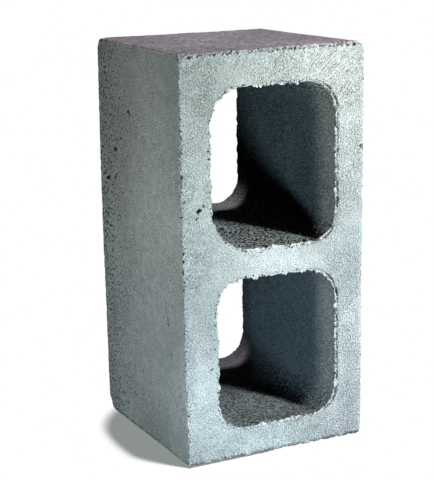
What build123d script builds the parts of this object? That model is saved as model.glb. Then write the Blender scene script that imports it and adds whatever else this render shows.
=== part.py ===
"""Two-core hollow concrete block, standing on one end.

X runs across the two face shells, Y runs along the cores, and Z runs along the block's length.
The origin is the middle of the end that the block stands on.
The cores are widest at the front face, on the -Y side, and draw in towards the back.
"""

import os

from build123d import *

# Overall size, in millimetres.
block_width = 200.0
block_depth = 200.0
block_length = 400.0

# Walls, measured at the front face where they are thinnest.
face_shell = 33.5
base_web = 32.5
middle_web = 28.5
top_web = 34.0

# How far the middle web sits below the halfway line between the end webs.
middle_web_drop = 4.0

# The cores: their corner radius at the front face, and the lean of their walls, in degrees.
core_corner_radius = 32.0
core_draft = 0.5

# Edge rounding: the four edges that run front to back, the rims of the bed faces, and the core mouths.
side_corner_radius = 6.0
bed_edge_radius = 2.5
mouth_edge_radius = 1.5

# Where the cores begin and end along the block's length.
core_width = block_width - 2 * face_shell
top_web_base = block_length - top_web
middle_web_height = (base_web + top_web_base) / 2 - middle_web_drop
lower_core = (base_web, middle_web_height - middle_web / 2)
upper_core = (middle_web_height + middle_web / 2, top_web_base)

front_face = Plane.XZ.offset(block_depth / 2)

with BuildPart() as concrete_block:
    # The outer body, drawn on the front bed face and run back to the rear one.
    with BuildSketch(front_face):
        with Locations((0, block_length / 2)):
            RectangleRounded(block_width, block_length, side_corner_radius)
    extrude(amount=-block_depth)
    bed_faces = faces().filter_by(Axis.Y)
    fillet(bed_faces.edges(), bed_edge_radius)

    # The two cores go right through.
    with BuildSketch(front_face):
        for core_base, core_top in (lower_core, upper_core):
            with Locations((0, (core_base + core_top) / 2)):
                RectangleRounded(core_width, core_top - core_base, core_corner_radius)
    extrude(amount=-block_depth, mode=Mode.SUBTRACT)

    # Their walls lean in towards the back, so that the mould's core boxes can be drawn out of the front.
    core_walls = faces(Select.LAST).filter_by(Axis.Y, reverse=True)
    draft(core_walls, front_face, core_draft)

    # The mouths of the cores are slightly eased on both bed faces.
    mouths = [wire for bed_face in faces().filter_by(Axis.Y) for wire in bed_face.inner_wires()]
    fillet([edge for mouth in mouths for edge in mouth.edges()], mouth_edge_radius)

concrete_block.part.label = "concrete_block"

os.makedirs("parts", exist_ok=True)
export_step(concrete_block.part, "parts/concrete_block.step")
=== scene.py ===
from math import cos, pi, radians, sin

import bmesh
import bpy
from mathutils import Matrix, Vector


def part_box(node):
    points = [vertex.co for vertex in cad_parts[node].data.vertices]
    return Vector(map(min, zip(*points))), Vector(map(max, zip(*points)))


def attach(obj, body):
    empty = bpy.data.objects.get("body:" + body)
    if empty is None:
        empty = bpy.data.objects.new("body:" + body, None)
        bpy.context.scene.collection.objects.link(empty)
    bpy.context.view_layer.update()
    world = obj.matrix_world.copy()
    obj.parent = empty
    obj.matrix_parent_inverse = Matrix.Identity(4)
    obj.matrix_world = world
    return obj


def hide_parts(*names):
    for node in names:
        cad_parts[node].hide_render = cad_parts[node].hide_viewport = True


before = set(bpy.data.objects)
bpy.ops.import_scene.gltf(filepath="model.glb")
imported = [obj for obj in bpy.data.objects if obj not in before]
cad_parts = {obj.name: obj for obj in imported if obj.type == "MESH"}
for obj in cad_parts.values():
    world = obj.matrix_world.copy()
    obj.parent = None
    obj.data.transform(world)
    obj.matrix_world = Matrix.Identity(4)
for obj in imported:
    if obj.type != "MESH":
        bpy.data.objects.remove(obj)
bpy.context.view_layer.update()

# The block.
# A hollow two-core block of dense concrete, cast in one piece in a steel mould and stood on one end to cure.
# The mould leaves flat granular faces, a broken crust round the core mouths, blow holes and crumbled edges.

mm = 0.001
low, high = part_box("concrete_block")
size = high - low
middle = (low + high) / 2

bpy.ops.object.select_all(action="DESELECT")
bpy.ops.mesh.primitive_cube_add(size=1, location=middle, scale=size)
block = bpy.context.object
block.name = "cast_block"
bpy.ops.object.transform_apply(location=True, rotation=True, scale=True)


def shift_corners(piece, centre, signs, move):
    """Moves, in edit mode, the corners of a box on the given sides of its centre. 0 takes both sides."""
    shape = bmesh.from_edit_mesh(piece.data)
    for corner in shape.verts:
        corner.select_set(all(sign * (p - c) >= 0 for sign, p, c in zip(signs, corner.co, centre)))
    bmesh.update_edit_mesh(piece.data)
    bpy.ops.transform.translate(value=move)


# The casting isn't quite square: how far each corner lies inside the mould's box, in millimetres across,
# front to back and upright. The signs say which corner it is.
bed_inset = 0.4
corner_insets = {
    (-1, -1, 1): (0.6, bed_inset, 1.4), (1, -1, 1): (0.15, bed_inset, 0.15),
    (-1, 1, 1): (0.5, bed_inset, 2.0), (1, 1, 1): (0.3, bed_inset, 3.0),
    (-1, -1, -1): (2.2, bed_inset, 1.6), (1, -1, -1): (0.9, bed_inset, 0.0),
    (-1, 1, -1): (0.2, bed_inset, 0.0), (1, 1, -1): (0.7, bed_inset, 0.0),
}
bpy.ops.object.mode_set(mode="EDIT")
for signs, insets in corner_insets.items():
    shift_corners(block, middle, signs, [-sign * inset * mm for sign, inset in zip(signs, insets)])
bpy.ops.object.mode_set(mode="OBJECT")
front_y, back_y = low.y + bed_inset * mm, high.y - bed_inset * mm

# A copy of the plain box keeps the lines of its twelve edges, to say where the edges crumble.
bpy.ops.object.duplicate()
edge_guide = bpy.context.object
edge_guide.name = "edge_guide"
bpy.ops.object.mode_set(mode="EDIT")
bpy.ops.mesh.select_all(action="SELECT")
bpy.ops.mesh.delete(type="ONLY_FACE")
bpy.ops.object.mode_set(mode="OBJECT")

# Each edge is rounded to its own radius, in millimetres. The signs say on which sides of the block the edge
# lies, across, front to back and upright, and 0 stands for the way that it runs.
edge_radii = {
    (-1, -1, 0): 1.6, (1, -1, 0): 5.0, (-1, 1, 0): 3.0, (1, 1, 0): 3.0,
    (0, -1, 1): 4.5, (0, 1, 1): 2.5, (0, -1, -1): 1.5, (0, 1, -1): 3.0,
    (-1, 0, 1): 2.0, (1, 0, 1): 9.0, (-1, 0, -1): 3.0, (1, 0, -1): 5.0,
}
widest_radius = max(edge_radii.values())
off_middle = size.x / 4
bpy.ops.object.select_all(action="DESELECT")
block.select_set(True)
bpy.context.view_layer.objects.active = block
weights = block.data.attributes.new("bevel_weight_edge", "FLOAT", "EDGE")
for edge in block.data.edges:
    start, end = (block.data.vertices[i].co for i in edge.vertices)
    sides = tuple((p > off_middle) - (p < -off_middle) for p in (start + end) / 2 - middle)
    weights.data[edge.index].value = edge_radii[sides] / widest_radius
rounding = block.modifiers.new("rounded edges", "BEVEL")
rounding.limit_method = "WEIGHT"
rounding.width = widest_radius * mm
rounding.segments = 5
bpy.ops.object.modifier_apply(modifier=rounding.name)


def select_edges(piece, wanted):
    """Selects, in edit mode, only the edges whose middle point and direction the test wants."""
    shape = bmesh.from_edit_mesh(piece.data)
    for part in (*shape.verts, *shape.edges, *shape.faces):
        part.select = False
    for edge in shape.edges:
        start, end = edge.verts[0].co, edge.verts[1].co
        if wanted((start + end) / 2, (end - start).normalized()):
            edge.select_set(True)
    bmesh.update_edit_mesh(piece.data)


# The cores, as the photographed casting has them, in millimetres: their left, right, bottom and top walls at
# the front face, how far these lean in towards the back, how far the upper right corner sags, and the corner
# radii from lower left round to upper left.
cores = (
    ((-62.5, 66.5, 31.2, 181.2), (1.5, 1.6, 0.0, 1.5), 1.8, (28, 28, 31, 24)),
    ((-67.5, 66.5, 209.5, 364.4), (1.5, 5.9, 1.5, 1.5), 0.0, (44, 27, 30, 34)),
)
core_overrun = 6 * mm
core_segments = 12
corner_share = 0.4

rims = []
for (left, right, bottom, top), leans, sag, radii in cores:
    bpy.ops.object.select_all(action="DESELECT")
    core_size = Vector((right - left, size.y / mm + 2 * core_overrun / mm, top - bottom)) * mm
    core_middle = Vector(((left + right) / 2 * mm, middle.y, (bottom + top) / 2 * mm))
    bpy.ops.mesh.primitive_cube_add(size=1, location=core_middle, scale=core_size)
    core = bpy.context.object
    bpy.ops.object.transform_apply(location=True, rotation=True, scale=True)
    bpy.ops.object.mode_set(mode="EDIT")
    for (side, end), lean in zip(((-1, 0), (1, 0), (0, -1), (0, 1)), leans):
        shift_corners(core, core_middle, (side, 1, end), (-side * lean * mm, 0, -end * lean * mm))
    shift_corners(core, core_middle, (1, 0, 1), (0, 0, -sag * mm))
    for (side, end), radius in zip(((-1, -1), (1, -1), (1, 1), (-1, 1)), radii):
        select_edges(core, lambda place, along: abs(along.y) > 0.9
                     and (place.x - core_middle.x) * side > core_size.x * corner_share
                     and (place.z - core_middle.z) * end > core_size.z * corner_share)
        bpy.ops.mesh.bevel(offset=radius * mm, segments=core_segments, affect="EDGES")
    bpy.ops.object.mode_set(mode="OBJECT")

    bpy.context.view_layer.objects.active = block
    cut = block.modifiers.new("core", "BOOLEAN")
    cut.operation = "DIFFERENCE"
    cut.solver = "EXACT"
    cut.object = core
    bpy.ops.object.modifier_apply(modifier=cut.name)

    # Where the core meets the two bed faces, its outline is kept as a guide for the crust.
    for face_y in (front_y, back_y):
        bpy.ops.object.select_all(action="DESELECT")
        core.select_set(True)
        bpy.context.view_layer.objects.active = core
        bpy.ops.object.duplicate()
        rim = bpy.context.object
        rims.append(rim)
        bpy.ops.object.mode_set(mode="EDIT")
        bpy.ops.mesh.select_all(action="SELECT")
        bpy.ops.mesh.bisect(plane_co=(0, face_y, 0), plane_no=(0, 1, 0), clear_inner=True, clear_outer=True)
        bpy.ops.object.mode_set(mode="OBJECT")
    bpy.data.objects.remove(core)

bpy.ops.object.select_all(action="DESELECT")
for rim in rims:
    rim.select_set(True)
bpy.context.view_layer.objects.active = rims[0]
bpy.ops.object.join()
rim_guide = bpy.context.object
rim_guide.name = "rim_guide"

# The larger blow holes that stand out on the front face (x, z) and on the left face (y, z), in millimetres.
front_holes = (
    (-80.0, 253.5), (95.0, 298.0), (-95.0, 397.0), (-87.0, 396.0), (-72.0, 398.5), (-97.5, 286.0),
    (-98.0, 322.0), (30.0, 399.0), (88.0, 398.0), (-81.5, 252.0),
)
front_pinholes = ((-76.0, 257.0), (-70.0, 96.0), (-83.5, 246.0), (-96.5, 263.0))
left_holes = (
    (20.1, 331.5), (37.8, 295.5), (57.3, 289.7), (77.4, 257.0), (59.9, 260.9), (79.0, 371.0), (86.6, 240.9),
    (-69.8, 182.2), (-72.4, 156.5), (-60.1, 141.0), (-60.8, 136.5), (-65.4, 106.9), (61.8, 99.0), (5.5, 68.0),
    (23.0, 332.5), (18.0, 329.5), (54.0, 290.5), (60.5, 289.0), (80.0, 256.0), (57.0, 261.5), (75.0, 258.5),
)
# A pinhole's middle lies off the face, so that less of it is cut.
pinhole_off = 1.4 * mm
left_x = low.x + 0.5 * mm
hole_places = [Vector((x * mm, front_y, z * mm)) for x, z in front_holes]
hole_places += [Vector((x * mm, front_y - pinhole_off, z * mm)) for x, z in front_pinholes]
hole_places += [Vector((left_x, y * mm, z * mm)) for y, z in left_holes]
hole_mesh = bpy.data.meshes.new("hole_guide")
hole_mesh.from_pydata(hole_places, [], [])
hole_guide = bpy.data.objects.new("hole_guide", hole_mesh)
bpy.context.scene.collection.objects.link(hole_guide)


def add(tree, kind, inputs=None, **settings):
    """Adds a node with its settings. An input takes a value, a socket, or a node's first live output."""
    node = tree.nodes.new(kind)
    for name, value in settings.items():
        setattr(node, name, value)
    live = [socket for socket in node.inputs if socket.enabled]
    for name, value in (inputs or {}).items():
        socket = live[name] if isinstance(name, int) else next(s for s in live if s.name == name)
        if isinstance(value, bpy.types.Node):
            value = next(s for s in value.outputs if s.enabled)
        if isinstance(value, bpy.types.NodeSocket):
            tree.links.new(value, socket)
        else:
            socket.default_value = value
    return node


# The casting's relief, moved along the surface in a fine even mesh: faces that aren't quite flat, blow holes,
# crumbled edges and the crust round the core mouths.
voxel = 0.9 * mm
bpy.ops.object.select_all(action="DESELECT")
block.select_set(True)
bpy.context.view_layer.objects.active = block
remesh = block.modifiers.new("even mesh", "REMESH")
remesh.mode = "VOXEL"
remesh.voxel_size = voxel
bpy.ops.object.modifier_apply(modifier=remesh.name)

relief = bpy.data.node_groups.new("casting relief", "GeometryNodeTree")
relief.interface.new_socket("Geometry", in_out="INPUT", socket_type="NodeSocketGeometry")
relief.interface.new_socket("Geometry", in_out="OUTPUT", socket_type="NodeSocketGeometry")
source = add(relief, "NodeGroupInput")
place = add(relief, "GeometryNodeInputPosition")
outwards = add(relief, "GeometryNodeInputNormal")
across = add(relief, "ShaderNodeSeparateXYZ", {0: place})
facing = add(relief, "ShaderNodeSeparateXYZ", {0: outwards})

# The long faces bow: they fall away towards the two ends, the left one most and the right one not at all.
bow_depth = 0.75 * mm
bow = add(relief, "ShaderNodeMath", {0: across.outputs["Z"], 1: middle.z}, operation="SUBTRACT")
bow = add(relief, "ShaderNodeMath", {0: bow, 1: 2 / size.z}, operation="MULTIPLY")
bow = add(relief, "ShaderNodeMath", {0: bow, 1: 2.0}, operation="POWER")
upright = add(relief, "ShaderNodeMath", {0: facing.outputs["Z"]}, operation="ABSOLUTE")
upright = add(relief, "ShaderNodeMath", {0: 1.0, 1: upright}, operation="SUBTRACT")
leftwards = add(relief, "ShaderNodeMath", {0: 1.0, 1: facing.outputs["X"]}, operation="SUBTRACT")
for share in (upright, leftwards):
    bow = add(relief, "ShaderNodeMath", {0: bow, 1: share}, operation="MULTIPLY")
height = add(relief, "ShaderNodeMath", {0: bow, 1: -bow_depth}, operation="MULTIPLY")

warp_width, warp_height = 130 * mm, 1.4 * mm
lump_width, lump_height = 18 * mm, 0.5 * mm
warp = add(relief, "ShaderNodeTexNoise", {"Vector": place, "Scale": 1 / warp_width, "Detail": 1.0})
lumps = add(relief, "ShaderNodeTexNoise", {"Vector": place, "Scale": 1 / lump_width, "Detail": 1.0})
for pattern, tall in ((warp, warp_height), (lumps, lump_height)):
    centred = add(relief, "ShaderNodeMath", {0: pattern, 1: -0.5}, operation="ADD")
    height = add(relief, "ShaderNodeMath", {0: centred, 1: tall, 2: height}, operation="MULTIPLY_ADD")

# Blow holes, with ragged outlines.
hole_radius, hole_depth, ragged_width, ragged_depth = 2.3 * mm, 2.2 * mm, 3 * mm, 4 * mm
flat_share = 0.4
grains = add(relief, "ShaderNodeTexNoise", {"Vector": place, "Scale": 1 / ragged_width, "Detail": 2.0})
ragged = add(relief, "ShaderNodeMath", {0: grains, 1: ragged_depth, 2: -ragged_depth / 2},
             operation="MULTIPLY_ADD")
points = add(relief, "GeometryNodeObjectInfo", {"Object": hole_guide})
hole_near = add(relief, "GeometryNodeProximity", {0: points.outputs["Geometry"]}, target_element="POINTS")
hole_distance = add(relief, "ShaderNodeMath", {0: hole_near.outputs["Distance"], 1: ragged}, operation="ADD")
holes = add(relief, "ShaderNodeMapRange", {
    "Value": hole_distance, "From Min": flat_share * hole_radius, "From Max": hole_radius,
    "To Min": 1.0, "To Max": 0.0,
}, interpolation_type="SMOOTHSTEP")
height = add(relief, "ShaderNodeMath", {0: holes, 1: -hole_depth, 2: height}, operation="MULTIPLY_ADD")

# Chipped corners: where, how far the chip reaches and how deep it goes, in millimetres.
chips = (((-100, 100, 400), 12, 5.0), ((-100, 100, 0), 14, 4.5), ((-100, -100, 400), 9, 1.6))
for spot, reach, depth in chips:
    far = add(relief, "ShaderNodeVectorMath", {0: place, 1: Vector(spot) * mm}, operation="DISTANCE")
    chip = add(relief, "ShaderNodeMapRange", {
        "Value": far.outputs["Value"], "From Min": 0.0, "From Max": reach * mm,
        "To Min": depth * mm, "To Max": 0.0,
    }, interpolation_type="SMOOTHSTEP")
    height = add(relief, "ShaderNodeMath", {0: height, 1: chip}, operation="SUBTRACT")

# Crumbled edges: bites out of the outer edges, most of them along the top of the front face.
bite_width, bite_depth, bite_start, bite_reach = 4 * mm, 5.5 * mm, 0.5 * mm, 6 * mm
front_near, front_far, top_near, top_far = 4 * mm, 12 * mm, 5 * mm, 12 * mm
lines = add(relief, "GeometryNodeObjectInfo", {"Object": edge_guide})
edge_near = add(relief, "GeometryNodeProximity", {0: lines.outputs["Geometry"]}, target_element="EDGES")
crumble = add(relief, "ShaderNodeMapRange", {
    "Value": edge_near.outputs["Distance"], "From Min": bite_start, "From Max": bite_reach,
    "To Min": 1.0, "To Max": 0.0,
}, interpolation_type="SMOOTHSTEP")
front_share = add(relief, "ShaderNodeMapRange", {
    "Value": across.outputs["Y"], "From Min": low.y + front_near, "From Max": low.y + front_far,
    "To Min": 1.0, "To Max": 0.3,
})
top_share = add(relief, "ShaderNodeMapRange", {
    "Value": across.outputs["Z"], "From Min": high.z - top_far, "From Max": high.z - top_near,
    "To Min": 0.4, "To Max": 1.0,
})
for share in (front_share, top_share):
    crumble = add(relief, "ShaderNodeMath", {0: crumble, 1: share}, operation="MULTIPLY")
bites = add(relief, "ShaderNodeTexNoise", {
    "Vector": place, "Scale": 1 / bite_width, "Detail": 3.0, "Roughness": 0.6,
})
bites = add(relief, "ShaderNodeMapRange", {"Value": bites, "From Min": 0.44, "From Max": 0.66})
bites = add(relief, "ShaderNodeMath", {0: bites, 1: crumble}, operation="MULTIPLY")
height = add(relief, "ShaderNodeMath", {0: bites, 1: -bite_depth, 2: height}, operation="MULTIPLY_ADD")

# The crust: a ragged lip of nibs, notches and broken flakes along the core mouths, much weaker at the back.
nib_sizes = ((9 * mm, 12 * mm), (3.2 * mm, 9 * mm))
flake_width, flake_depth, lip_start, lip_reach = 6 * mm, 2.2 * mm, 0.4 * mm, 3.0 * mm
left_rim, left_corner = -66 * mm, -48 * mm
lines = add(relief, "GeometryNodeObjectInfo", {"Object": rim_guide})
rim_near = add(relief, "GeometryNodeProximity", {0: lines.outputs["Geometry"]}, target_element="EDGES")
lip = add(relief, "ShaderNodeMapRange", {
    "Value": rim_near.outputs["Distance"], "From Min": lip_start, "From Max": lip_reach,
    "To Min": 1.0, "To Max": 0.0,
}, interpolation_type="SMOOTHSTEP")
crust = 0.0
for width, tall in nib_sizes:
    nibs = add(relief, "ShaderNodeTexNoise", {"Vector": place, "Scale": 1 / width, "Detail": 2.0})
    nibs = add(relief, "ShaderNodeMath", {0: nibs, 1: -0.5}, operation="ADD")
    crust = add(relief, "ShaderNodeMath", {0: nibs, 1: tall, 2: crust}, operation="MULTIPLY_ADD")
flakes = add(relief, "ShaderNodeTexNoise", {"Vector": place, "Scale": 1 / flake_width, "Detail": 1.0})
flakes = add(relief, "ShaderNodeMapRange", {"Value": flakes, "From Min": 0.52, "From Max": 0.56})
crust = add(relief, "ShaderNodeMath", {0: flakes, 1: -flake_depth, 2: crust}, operation="MULTIPLY_ADD")
crust_share = add(relief, "ShaderNodeMapRange", {
    "Value": across.outputs["X"], "From Min": left_rim, "From Max": left_corner, "To Min": 0.6, "To Max": 1.0,
})
for share in (lip, front_share, crust_share):
    crust = add(relief, "ShaderNodeMath", {0: crust, 1: share}, operation="MULTIPLY")
height = add(relief, "ShaderNodeMath", {0: height, 1: crust}, operation="ADD")

# At the right the crust has come loose: a broken groove runs along it, a few millimetres from the mouth.
groove_place, groove_half, groove_depth, break_width = 2.6 * mm, 1.6 * mm, 2.6 * mm, 11 * mm
loose_start, loose_full = 35 * mm, 58 * mm
groove = add(relief, "ShaderNodeMath", {0: rim_near.outputs["Distance"], 1: ragged}, operation="ADD")
groove = add(relief, "ShaderNodeMath", {0: groove, 1: groove_place}, operation="SUBTRACT")
groove = add(relief, "ShaderNodeMath", {0: groove}, operation="ABSOLUTE")
groove = add(relief, "ShaderNodeMapRange", {
    "Value": groove, "From Min": 0.0, "From Max": groove_half, "To Min": 1.0, "To Max": 0.0,
}, interpolation_type="SMOOTHSTEP")
breaks = add(relief, "ShaderNodeTexNoise", {"Vector": place, "Scale": 1 / break_width, "Detail": 3.0})
breaks = add(relief, "ShaderNodeMapRange", {"Value": breaks, "From Min": 0.39, "From Max": 0.55})
right_share = add(relief, "ShaderNodeMapRange", {
    "Value": across.outputs["X"], "From Min": loose_start, "From Max": loose_full,
})
to_front = add(relief, "ShaderNodeMapRange", {
    "Value": facing.outputs["Y"], "From Min": -0.8, "From Max": -0.4, "To Min": 1.0, "To Max": 0.0,
})
for share in (breaks, right_share, front_share, to_front):
    groove = add(relief, "ShaderNodeMath", {0: groove, 1: share}, operation="MULTIPLY")
height = add(relief, "ShaderNodeMath", {0: groove, 1: -groove_depth, 2: height}, operation="MULTIPLY_ADD")

# No grain stands out of the mould's box.
margin = Vector((0.1, 0.1, 0.05)) * mm
shift = add(relief, "ShaderNodeVectorMath", {0: outwards, "Scale": height}, operation="SCALE")
moved = add(relief, "ShaderNodeVectorMath", {0: place, 1: shift}, operation="ADD")
moved = add(relief, "ShaderNodeVectorMath", {0: moved, 1: low + margin}, operation="MAXIMUM")
moved = add(relief, "ShaderNodeVectorMath", {0: moved, 1: high - margin}, operation="MINIMUM")

# What the material needs to know is stored before the surface moves, because it is measured from the smooth
# casting.
kept = (
    ("hole_distance", hole_distance), ("rim_distance", rim_near.outputs["Distance"]),
    ("edge_distance", edge_near.outputs["Distance"]), ("crust_groove", groove),
)
shaped = source
for name, value in kept:
    shaped = add(relief, "GeometryNodeStoreNamedAttribute", {
        "Geometry": shaped, "Name": name, "Value": value,
    }, data_type="FLOAT", domain="POINT")
shaped = add(relief, "GeometryNodeSetPosition", {"Geometry": shaped, "Position": moved})
add(relief, "NodeGroupOutput", {0: shaped})
casting = block.modifiers.new("casting relief", "NODES")
casting.node_group = relief
bpy.ops.object.modifier_apply(modifier=casting.name)
for guide in (edge_guide, rim_guide, hole_guide):
    bpy.data.objects.remove(guide)

# The mesh of four-sided faces is thinned to the triangles that the relief needs.
most_triangles = 190000
triangles = 2 * len(block.data.polygons)
thin = block.modifiers.new("thin", "DECIMATE")
thin.ratio = most_triangles / triangles
thin.use_collapse_triangulate = True
bpy.ops.object.modifier_apply(modifier=thin.name)
bpy.ops.object.shade_smooth()


def colour(code):
    """Turns an sRGB hex code into linear red, green, blue and alpha."""
    shares = [int(code[i:i + 2], 16) / 255 for i in (1, 3, 5)]
    return (*(s / 12.92 if s <= 0.04045 else ((s + 0.055) / 1.055) ** 2.4 for s in shares), 1.0)


# Cast concrete: cement paste with fine sand at the skin, matt and granular, pale blue-grey.
concrete = bpy.data.materials.new("cast_concrete")
concrete.use_nodes = True
tree = concrete.node_tree
tree.nodes.clear()
where = add(tree, "ShaderNodeTexCoord").outputs["Object"]
along = add(tree, "ShaderNodeSeparateXYZ", {0: where})
surface_turn = add(tree, "ShaderNodeSeparateXYZ", {0: add(tree, "ShaderNodeNewGeometry").outputs["Normal"]})

# The paste is bluer towards the foot.
bluest, greyest = 100 * mm, 360 * mm
paste = add(tree, "ShaderNodeMix", {
    "Factor": add(tree, "ShaderNodeMapRange", {
        "Value": along.outputs["Z"], "From Min": bluest, "From Max": greyest,
    }),
    "A": colour("#bbcace"), "B": colour("#c4d0cd"),
}, data_type="RGBA")

# It is a little darker towards the left.
darkest, lightest = -100 * mm, -30 * mm
level = add(tree, "ShaderNodeMapRange", {
    "Value": along.outputs["X"], "From Min": darkest, "From Max": lightest, "To Min": 0.86, "To Max": 1.0,
})
paste = add(tree, "ShaderNodeMix", {"Factor": 1.0, "A": paste, "B": level},
            data_type="RGBA", blend_type="MULTIPLY")

# Soft stains and pale blooms, with some painted shade and a painted highlight among them: where the middle
# lies and how far it reaches, in millimetres, how strong it is there, and its colour.
stains_and_painted_light = (
    ((-88, -125, 360), 125, 0.62, "#8a9694"),
    ((-82, -105, 92), 65, 0.50, "#d2dfe3"),
    ((-72, -105, 166), 48, 0.40, "#93a0a4"),
    ((-78, -105, 228), 40, 0.35, "#93a0a4"),
    ((-80, -105, 0), 50, 0.35, "#93a0a4"),
    # Painted shadow: a near-black patch on the lower core's floor.
    ((5, 18, 32), 42, 0.60, "#16181a"),
    # Painted shade in the upper core, on its right wall and floor near the front.
    ((42, -68, 258), 62, 0.55, "#4a5254"),
    ((-105, -43, 275), 60, 0.25, "#c8d2d0"),
    ((-107, -96, 130), 140, 0.32, "#76817f"),
    # Painted shade: the upper back of the left face is darker, where less light reaches it.
    ((-100, 110, 340), 170, 0.30, "#7d837a"),
    ((90, -105, 112), 70, 0.50, "#d8e2e6"),
    ((105, -105, 30), 80, 0.60, "#a9aeb5"),
    ((-105, -30, -10), 95, 0.75, "#8f9c9c"),
    ((5, -110, 196), 95, 0.64, "#dde7e8"),
    # A pale bloom at the upper right of the front, brightened further as a painted highlight.
    ((90, -110, 330), 120, 0.62, "#dde5e2"),
    ((55, -108, 380), 60, 0.50, "#e8efec"),
    ((95, -108, 245), 70, 0.35, "#dde7e8"),
    ((47, 95, 38), 45, 0.45, "#4c4a4e"),
    ((0, -55, 36), 50, 0.50, "#e4ecec"),
)
for (x, y, z), reach, strength, tint in stains_and_painted_light:
    far = add(tree, "ShaderNodeVectorMath", {0: where, 1: Vector((x, y, z)) * mm}, operation="DISTANCE")
    share = add(tree, "ShaderNodeMapRange", {
        "Value": far.outputs["Value"], "From Min": 0.0, "From Max": reach * mm,
        "To Min": strength, "To Max": 0.0,
    }, interpolation_type="SMOOTHSTEP")
    paste = add(tree, "ShaderNodeMix", {"Factor": share, "A": paste, "B": colour(tint)}, data_type="RGBA")

# The skin of paste is broken in patches, where the grit shows more.
patch_width = 38 * mm
grit = add(tree, "ShaderNodeTexNoise", {"Vector": where, "Scale": 1 / patch_width, "Detail": 2.0})
grit = add(tree, "ShaderNodeMapRange", {
    "Value": grit, "From Min": 0.36, "From Max": 0.64, "To Min": 0.68, "To Max": 1.0,
})

# Uneven tone at three widths: clouds, mottling and grains of sand, which are drawn coarser than real sand so
# that they show. Each has its width, its fineness, the least and most light that it gives, and its share.
tones = (
    (60 * mm, 2.0, 0.92, 1.08, 1.0),
    (11 * mm, 2.0, 0.90, 1.10, 1.0),
    (1.4 * mm, 1.0, 0.60, 1.40, grit),
)
for width, detail, least, most, share in tones:
    pattern = add(tree, "ShaderNodeTexNoise", {"Vector": where, "Scale": 1 / width, "Detail": detail})
    level = add(tree, "ShaderNodeMapRange", {
        "Value": pattern, "From Min": 0.3, "From Max": 0.7, "To Min": least, "To Max": most,
    })
    paste = add(tree, "ShaderNodeMix", {"Factor": share, "A": paste, "B": level},
                data_type="RGBA", blend_type="MULTIPLY")

# Painted grain shadows on the webs, the middle one most and more so at the front than at the back:
# coarse grains lit at a grazing angle, whose long shadows are painted as dark streaks drawn out along the
# cores, with painted highlights on the grains between.
grain_shadow_width, grain_shadow_length, outer_zone = 1.7 * mm, 3.0 * mm, 15 * mm
lower_web, middle_web = 100 * mm, 190 * mm
shadows_full, shadows_faint = -20 * mm, 70 * mm
grain_shadow_place = add(tree, "ShaderNodeVectorMath", {
    0: where, 1: (1 / grain_shadow_width, 1 / grain_shadow_length, 1 / grain_shadow_width),
}, operation="MULTIPLY")
grain_shadow_and_scuff_noise = add(tree, "ShaderNodeTexNoise", {"Vector": grain_shadow_place, "Scale": 1.0, "Detail": 1.0})
grain_shadows = add(tree, "ShaderNodeMapRange", {
    "Value": grain_shadow_and_scuff_noise, "From Min": 0.45, "From Max": 0.54, "To Min": 0.0, "To Max": 1.4,
})
level_up = add(tree, "ShaderNodeMath", {0: surface_turn.outputs["Z"]}, operation="ABSOLUTE")
inside = add(tree, "ShaderNodeMath", {0: along.outputs["Z"], 1: high.z - outer_zone}, operation="LESS_THAN")
web = add(tree, "ShaderNodeMapRange", {"Value": level_up, "From Min": 0.4, "From Max": 0.8})
web_strength = add(tree, "ShaderNodeMapRange", {
    "Value": along.outputs["Z"], "From Min": lower_web, "From Max": middle_web, "To Min": 0.58, "To Max": 1.0,
})
fade_to_back = add(tree, "ShaderNodeMapRange", {
    "Value": along.outputs["Y"], "From Min": shadows_full, "From Max": shadows_faint,
    "To Min": 1.0, "To Max": 0.3,
})
for share in (inside, web_strength, fade_to_back):
    web = add(tree, "ShaderNodeMath", {0: web, 1: share}, operation="MULTIPLY")
paste = add(tree, "ShaderNodeMix", {"Factor": web, "A": paste, "B": grain_shadows},
            data_type="RGBA", blend_type="MULTIPLY")

# The end on top is rubbed and blotchy, and tinted with the pink of the light from above, painted in.
smear_width, smear_length = 3.6 * mm, 4.5 * mm
smears = add(tree, "ShaderNodeVectorMath", {
    0: where, 1: (1 / smear_width, 1 / smear_length, 1 / smear_length),
}, operation="MULTIPLY")
smears = add(tree, "ShaderNodeTexNoise", {"Vector": smears, "Scale": 1.0, "Detail": 2.0})
smears = add(tree, "ShaderNodeMapRange", {
    "Value": smears, "From Min": 0.35, "From Max": 0.65, "To Min": 0.6, "To Max": 1.28,
})
on_top = add(tree, "ShaderNodeMapRange", {
    "Value": surface_turn.outputs["Z"], "From Min": 0.4, "From Max": 0.8,
})
outside = add(tree, "ShaderNodeMath", {0: 1.0, 1: inside}, operation="SUBTRACT")
on_top = add(tree, "ShaderNodeMath", {0: on_top, 1: outside}, operation="MULTIPLY")
for layer in (smears, colour("#fff0fd")):
    paste = add(tree, "ShaderNodeMix", {"Factor": on_top, "A": paste, "B": layer},
                data_type="RGBA", blend_type="MULTIPLY")

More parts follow.
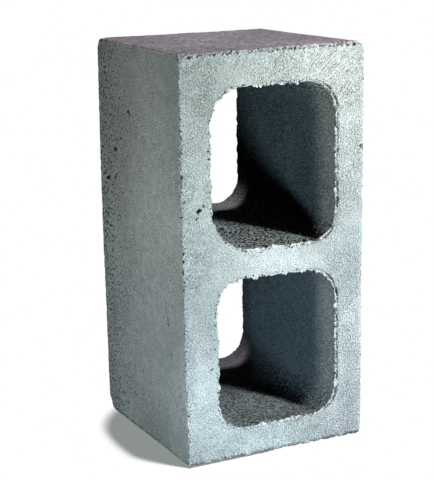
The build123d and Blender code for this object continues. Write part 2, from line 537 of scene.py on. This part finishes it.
# The bed faces were struck off while wet, which leaves shallow curved strokes across the grain.
stroke_length, stroke_width, stroke_slope = 20 * mm, 2.0 * mm, radians(42)
bend_width, bend_depth = 70 * mm, 45 * mm
strokes_weak, strokes_strong = 150 * mm, 370 * mm
bend = add(tree, "ShaderNodeTexNoise", {"Vector": where, "Scale": 1 / bend_width, "Detail": 0.0})
stroke_place = add(tree, "ShaderNodeVectorMath", {
    0: bend.outputs["Color"], 1: (bend_depth,) * 3, 2: where,
}, operation="MULTIPLY_ADD")
stroke_run = Vector((cos(stroke_slope), 0, sin(stroke_slope))) / stroke_length
stroke_across = Vector((-sin(stroke_slope), 0, cos(stroke_slope))) / stroke_width
stroke_axes = [
    add(tree, "ShaderNodeVectorMath", {0: stroke_place, 1: axis}, operation="DOT_PRODUCT").outputs["Value"]
    for axis in (stroke_run, stroke_across)
]
strokes = add(tree, "ShaderNodeCombineXYZ", {0: stroke_axes[0], 1: stroke_axes[1]})
strokes = add(tree, "ShaderNodeTexNoise", {"Vector": strokes, "Scale": 1.0, "Detail": 1.0})
on_bed = add(tree, "ShaderNodeMath", {0: surface_turn.outputs["Y"]}, operation="ABSOLUTE")
on_bed = add(tree, "ShaderNodeMapRange", {"Value": on_bed, "From Min": 0.5, "From Max": 0.9})
patches = add(tree, "ShaderNodeTexNoise", {"Vector": where, "Scale": 1 / bend_width, "Detail": 1.0})
patches = add(tree, "ShaderNodeMapRange", {"Value": patches, "From Min": 0.42, "From Max": 0.62})
high_up = add(tree, "ShaderNodeMapRange", {
    "Value": along.outputs["Z"], "From Min": strokes_weak, "From Max": strokes_strong,
    "To Min": 0.35, "To Max": 0.9,
})
for share in (patches, high_up):
    on_bed = add(tree, "ShaderNodeMath", {0: on_bed, 1: share}, operation="MULTIPLY")
level = add(tree, "ShaderNodeMapRange", {
    "Value": strokes, "From Min": 0.35, "From Max": 0.65, "To Min": 0.88, "To Max": 1.1,
})
paste = add(tree, "ShaderNodeMix", {"Factor": on_bed, "A": paste, "B": level},
            data_type="RGBA", blend_type="MULTIPLY")

# Painted shade: the walls of the cores are darker than the faces outside, the upper ones most.
shade_low, shade_high = 150 * mm, 215 * mm
side_on = add(tree, "ShaderNodeMath", {0: surface_turn.outputs["X"]}, operation="ABSOLUTE")
off_axis = add(tree, "ShaderNodeMath", {0: along.outputs["X"]}, operation="ABSOLUTE")
within = add(tree, "ShaderNodeMath", {0: off_axis, 1: high.x - outer_zone}, operation="LESS_THAN")
wall = add(tree, "ShaderNodeMapRange", {"Value": side_on, "From Min": 0.4, "From Max": 0.8})
core_shade = add(tree, "ShaderNodeMapRange", {
    "Value": along.outputs["Z"], "From Min": shade_low, "From Max": shade_high, "To Min": 0.6, "To Max": 0.8,
})
for share in (within, core_shade):
    wall = add(tree, "ShaderNodeMath", {0: wall, 1: share}, operation="MULTIPLY")
scuffs = add(tree, "ShaderNodeMapRange", {
    "Value": grain_shadow_and_scuff_noise, "From Min": 0.35, "From Max": 0.65, "To Min": 0.5, "To Max": 1.45,
})
for layer in (scuffs, colour("#b0b3b0")):
    paste = add(tree, "ShaderNodeMix", {"Factor": wall, "A": paste, "B": layer},
                data_type="RGBA", blend_type="MULTIPLY")

# Pits: a few all over, more on crumbled edges and round the core mouths, and many along the back edge of the
# left face, painted dark as the shade inside them. They are where a fine pattern rises over a mark, which is
# lower where there are more of them.
pit_width, pit_mark, pit_fade = 2.6 * mm, 0.74, 0.03
edge_drop, mouth_drop, strip_drop = 0.19, 0.13, 0.165
edge_start, mouth_start, pit_reach, pit_front, pit_top = 1.0 * mm, 2.0 * mm, 7 * mm, 9 * mm, 6 * mm
strip_start, strip_full, left_skin = -20 * mm, 80 * mm, -95 * mm
pits = add(tree, "ShaderNodeTexNoise", {"Vector": where, "Scale": 1 / pit_width, "Detail": 2.0})
edge = add(tree, "ShaderNodeAttribute", attribute_name="edge_distance").outputs["Fac"]
crumble = add(tree, "ShaderNodeMapRange", {
    "Value": edge, "From Min": edge_start, "From Max": pit_reach, "To Min": 1.0, "To Max": 0.0,
}, interpolation_type="SMOOTHSTEP")
front_edge = add(tree, "ShaderNodeMapRange", {
    "Value": along.outputs["Y"], "From Min": low.y + front_near, "From Max": low.y + pit_front,
    "To Min": 1.0, "To Max": 0.1,
})
top_edge = add(tree, "ShaderNodeMapRange", {
    "Value": along.outputs["Z"], "From Min": high.z - top_far, "From Max": high.z - pit_top,
    "To Min": 0.65, "To Max": 1.0,
})
for share in (front_edge, top_edge):
    crumble = add(tree, "ShaderNodeMath", {0: crumble, 1: share}, operation="MULTIPLY")
rim = add(tree, "ShaderNodeAttribute", attribute_name="rim_distance").outputs["Fac"]
mouth = add(tree, "ShaderNodeMapRange", {
    "Value": rim, "From Min": mouth_start, "From Max": pit_reach, "To Min": 1.0, "To Max": 0.0,
}, interpolation_type="SMOOTHSTEP")
mouth = add(tree, "ShaderNodeMath", {0: mouth, 1: front_edge}, operation="MULTIPLY")
back_strip = add(tree, "ShaderNodeMapRange", {
    "Value": along.outputs["Y"], "From Min": strip_start, "From Max": strip_full,
})
left_side = add(tree, "ShaderNodeMath", {0: along.outputs["X"], 1: left_skin}, operation="LESS_THAN")
back_strip = add(tree, "ShaderNodeMath", {0: back_strip, 1: left_side}, operation="MULTIPLY")
for share, drop in ((crumble, edge_drop), (mouth, mouth_drop), (back_strip, strip_drop)):
    pits = add(tree, "ShaderNodeMath", {0: share, 1: drop, 2: pits}, operation="MULTIPLY_ADD")
pit = add(tree, "ShaderNodeMapRange", {"Value": pits, "From Min": pit_mark, "From Max": pit_mark + pit_fade})

# The crust at the front mouths: a painted highlight on the broken lip, and painted shade in the groove.
lip_width, shake_width, shake_depth, run_width = 1.5 * mm, 4 * mm, 4 * mm, 10 * mm
lip_depth, lip_full = 2.5 * mm, -30 * mm
lip_highlight_strength, groove_shade_strength = 0.75, 0.85
shake = add(tree, "ShaderNodeTexNoise", {"Vector": where, "Scale": 1 / shake_width, "Detail": 1.0})
shake = add(tree, "ShaderNodeMath", {0: shake, 1: shake_depth, 2: -shake_depth / 2}, operation="MULTIPLY_ADD")
rim = add(tree, "ShaderNodeMath", {0: rim, 1: shake}, operation="ADD")
runs = add(tree, "ShaderNodeTexNoise", {"Vector": where, "Scale": 1 / run_width, "Detail": 1.0})
front = add(tree, "ShaderNodeMath", {0: along.outputs["Y"], 1: low.y + lip_depth}, operation="LESS_THAN")
lip = add(tree, "ShaderNodeMath", {0: rim, 1: lip_width}, operation="LESS_THAN")
least_run = add(tree, "ShaderNodeMapRange", {
    "Value": along.outputs["X"], "From Min": left_rim, "From Max": lip_full, "To Min": 0.6, "To Max": 0.44,
})
lip_runs = add(tree, "ShaderNodeMath", {0: runs, 1: least_run}, operation="GREATER_THAN")
for share in (front, lip_runs):
    lip = add(tree, "ShaderNodeMath", {0: lip, 1: share}, operation="MULTIPLY")
lip = add(tree, "ShaderNodeMath", {0: lip, 1: lip_highlight_strength}, operation="MULTIPLY")
paste = add(tree, "ShaderNodeMix", {"Factor": lip, "A": paste, "B": colour("#f4faf9")}, data_type="RGBA")
# Painted shade in the crust's groove.
groove_and_foot_shade = add(tree, "ShaderNodeAttribute", attribute_name="crust_groove").outputs["Fac"]
groove_and_foot_shade = add(tree, "ShaderNodeMath", {0: groove_and_foot_shade, 1: groove_shade_strength}, operation="MULTIPLY")

# The blow holes are drawn dark inside, as painted shade.
dark_share = 0.5
hole = add(tree, "ShaderNodeAttribute", attribute_name="hole_distance").outputs["Fac"]
hole = add(tree, "ShaderNodeMapRange", {
    "Value": hole, "From Min": dark_share * hole_radius, "From Max": hole_radius,
    "To Min": 1.0, "To Max": 0.0,
})

# A broken dark line along the foot: a painted contact shadow where the block meets the floor.
foot_full, foot_end = 0.5 * mm, 5.0 * mm
foot_shadow = add(tree, "ShaderNodeMapRange", {
    "Value": along.outputs["Z"], "From Min": foot_full, "From Max": foot_end, "To Min": 1.0, "To Max": 0.0,
})
foot_runs = add(tree, "ShaderNodeMapRange", {"Value": runs, "From Min": 0.32, "From Max": 0.52})
foot_shadow = add(tree, "ShaderNodeMath", {0: foot_shadow, 1: foot_runs}, operation="MULTIPLY")
groove_and_foot_shade = add(tree, "ShaderNodeMath", {0: groove_and_foot_shade, 1: foot_shadow}, operation="MAXIMUM")
# Painted shade: holes, the crust groove, the foot's painted contact shadow and the pits are darkened
# together.
painted_shade = add(tree, "ShaderNodeMath", {0: hole, 1: groove_and_foot_shade}, operation="MAXIMUM")
painted_shade = add(tree, "ShaderNodeMath", {0: painted_shade, 1: pit}, operation="MAXIMUM")
paste = add(tree, "ShaderNodeMix", {"Factor": painted_shade, "A": paste, "B": colour("#1c2021")}, data_type="RGBA")

# The grain is stronger on the struck bed faces and the webs than on the sides that the mould pressed.
grain_width, grain_height, stroke_height, pit_depth = 1.5 * mm, 4.8 * mm, 3.0 * mm, 0.8 * mm
grain_strength = add(tree, "ShaderNodeMapRange", {"Value": side_on, "To Min": 1.0, "To Max": 0.42})
grain_strength = add(tree, "ShaderNodeMath", {0: grain_strength, 1: grit}, operation="MULTIPLY")
sand = add(tree, "ShaderNodeTexNoise", {"Vector": where, "Scale": 1 / grain_width, "Detail": 1.0})
skin = add(tree, "ShaderNodeBump", {
    "Height": sand, "Distance": grain_height, "Strength": grain_strength,
})
skin = add(tree, "ShaderNodeBump", {
    "Height": strokes, "Distance": stroke_height, "Strength": on_bed, "Normal": skin,
})
skin = add(tree, "ShaderNodeBump", {
    "Height": pit, "Distance": pit_depth, "Strength": 1.0, "Normal": skin,
}, invert=True)
surface = add(tree, "ShaderNodeBsdfPrincipled", {
    "Base Color": paste, "Roughness": 1.0, "Specular IOR Level": 0.03, "Normal": skin,
})
add(tree, "ShaderNodeOutputMaterial", {"Surface": surface})
block.data.materials.clear()
block.data.materials.append(concrete)

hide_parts("concrete_block")
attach(block, "root")

# The floor.
# A plain white sweep that the block stands on.
# The camera sees it white, with the block's shadow kept close by.

floor_side = 60.0
bpy.ops.object.select_all(action="DESELECT")
bpy.ops.mesh.primitive_plane_add(size=floor_side, location=(0, 0, low.z))
floor = bpy.context.object
floor.name = "floor"


def direct_view(tree):
    """Gives 1 for rays from the camera, also by way of gloss or glass, and 0 for the rest."""
    rays = add(tree, "ShaderNodeLightPath")
    view = rays.outputs["Is Camera Ray"]
    for way in ("Is Glossy Ray", "Is Transmission Ray"):
        view = add(tree, "ShaderNodeMath", {0: view, 1: rays.outputs[way]}, operation="MAXIMUM")
    return view


white_sweep = bpy.data.materials.new("white_sweep")
white_sweep.use_nodes = True
tree = white_sweep.node_tree
tree.nodes.clear()

# The shadow shows within an oval patch at the block's left side, and the sweep is plain white beyond it.
shadow_level = 0.29
patch_middle = Vector((-60, -15, 0)) * mm
patch_reach = Vector((80, 115, 1)) * mm
where = add(tree, "ShaderNodeTexCoord").outputs["Object"]
patch = add(tree, "ShaderNodeVectorMath", {0: where, 1: patch_middle}, operation="SUBTRACT")
patch = add(tree, "ShaderNodeVectorMath", {0: patch, 1: patch_reach}, operation="DIVIDE")
patch = add(tree, "ShaderNodeVectorMath", {0: patch}, operation="LENGTH").outputs["Value"]
fade = add(tree, "ShaderNodeMapRange", {"Value": patch, "From Min": 0.88, "From Max": 1.08},
           interpolation_type="SMOOTHSTEP")
lit = add(tree, "ShaderNodeBsdfDiffuse", {"Color": (1, 1, 1, 1)})
glow = add(tree, "ShaderNodeEmission", {"Color": colour("#f4fff8"), "Strength": shadow_level})
shaded = add(tree, "ShaderNodeAddShader", {0: lit, 1: glow})
bright = add(tree, "ShaderNodeEmission", {"Color": (1, 1, 1, 1), "Strength": 1.0})
seen = add(tree, "ShaderNodeMixShader", {0: fade, 1: shaded, 2: bright})
plain = add(tree, "ShaderNodeBsdfDiffuse", {"Color": colour("#d8d8d6")})
sweep = add(tree, "ShaderNodeMixShader", {0: direct_view(tree), 1: plain, 2: seen})
add(tree, "ShaderNodeOutputMaterial", {"Surface": sweep})
floor.data.materials.append(white_sweep)

# The light and the camera.
# A key lamp low at the front right, a soft lamp overhead, one at the left, one near the floor and a weak one
# behind light the block alone. One more, high up, draws its short shadow on the floor.

scene = bpy.context.scene
world = bpy.data.worlds.new("studio")
scene.world = world
world.use_nodes = True
tree = world.node_tree
tree.nodes.clear()
ambient = 0.001
dim = add(tree, "ShaderNodeBackground", {"Color": (1, 1, 1, 1), "Strength": ambient})
white = add(tree, "ShaderNodeBackground", {"Color": (1, 1, 1, 1), "Strength": 1.0})
studio = add(tree, "ShaderNodeMixShader", {0: direct_view(tree), 1: dim, 2: white})
add(tree, "ShaderNodeOutputWorld", {"Surface": studio})

# The cores are black where no lamp reaches them, so light isn't passed on from wall to wall.
scene.cycles.diffuse_bounces = 0

lit_block = bpy.data.collections.new("lit_block")
lit_block.objects.link(block)
lit_floor = bpy.data.collections.new("lit_floor")
lit_floor.objects.link(floor)


def from_angle(azimuth, elevation):
    """The turn of a lamp or camera that looks at the block from that azimuth and elevation, in degrees."""
    return Matrix.Rotation(radians(azimuth), 3, "Z") @ Matrix.Rotation(pi / 2 - radians(elevation), 3, "X")


# Far lamps: azimuth, elevation, level, how wide the lamp looks in degrees, tint, and what it lights.
far_lamps = (
    ("key", 29.5, 10, 1.39, 8, "#fffffd", lit_block),
    ("overhead", 172, 78, 0.34, 6, "#ffe6ef", lit_block),
    ("behind", 160, -10, 0.5, 10, "#ffffff", lit_block),
    ("floor_lamp", 36, 80.5, 0.76, 2.5, "#ffffff", lit_floor),
)
for name, azimuth, elevation, level, wide, tint, lights in far_lamps:
    lamp = bpy.data.lights.new(name, "SUN")
    lamp.energy = pi * level
    lamp.angle = radians(wide)
    lamp.color = colour(tint)[:3]
    sun = bpy.data.objects.new(name, lamp)
    sun.matrix_world = from_angle(azimuth, elevation).to_4x4()
    scene.collection.objects.link(sun)
    sun.light_linking.receiver_collection = lights
    sun.light_linking.blocker_collection = lit_block

# Near lamps: place and aim in millimetres, power in watts, width in millimetres and tint.
near_lamps = (
    ("left_lamp", (-540, -215, 150), (-100, -20, 180), 0.99, 110, "#fff5e9"),
    ("low_lamp", (-380, -600, 0), (60, 0, 140), 1.42, 125, "#c8e8ff"),
)
for name, stand, aim, power, wide, tint in near_lamps:
    lamp = bpy.data.lights.new(name, "AREA")
    lamp.shape = "DISK"
    lamp.size = wide * mm
    lamp.energy = power
    lamp.color = colour(tint)[:3]
    disk = bpy.data.objects.new(name, lamp)
    turn = (Vector(aim) - Vector(stand)).to_track_quat("-Z", "Y").to_matrix().to_4x4()
    disk.matrix_world = Matrix.Translation(Vector(stand) * mm) @ turn
    scene.collection.objects.link(disk)
    disk.visible_camera = False
    disk.light_linking.receiver_collection = lit_block
    disk.light_linking.blocker_collection = lit_block

lens, sensor = 103.2, 36.0
camera_azimuth, camera_elevation, camera_roll = -26.23, 13.85, radians(-0.979)
camera_turn = from_angle(camera_azimuth, camera_elevation) @ Matrix.Rotation(camera_roll, 3, "Z")
aside, raised, away = -12.19 * mm, -5.5 * mm, 1407.5 * mm
camera_data = bpy.data.cameras.new("camera")
camera_data.lens = lens
camera_data.sensor_width = sensor
camera_data.clip_end = 200.0
camera = bpy.data.objects.new("camera", camera_data)
camera_place = middle + camera_turn @ Vector((aside, raised, away))
camera.matrix_world = Matrix.Translation(camera_place) @ camera_turn.to_4x4()
scene.collection.objects.link(camera)
scene.camera = camera
scene.view_settings.view_transform = "Standard"
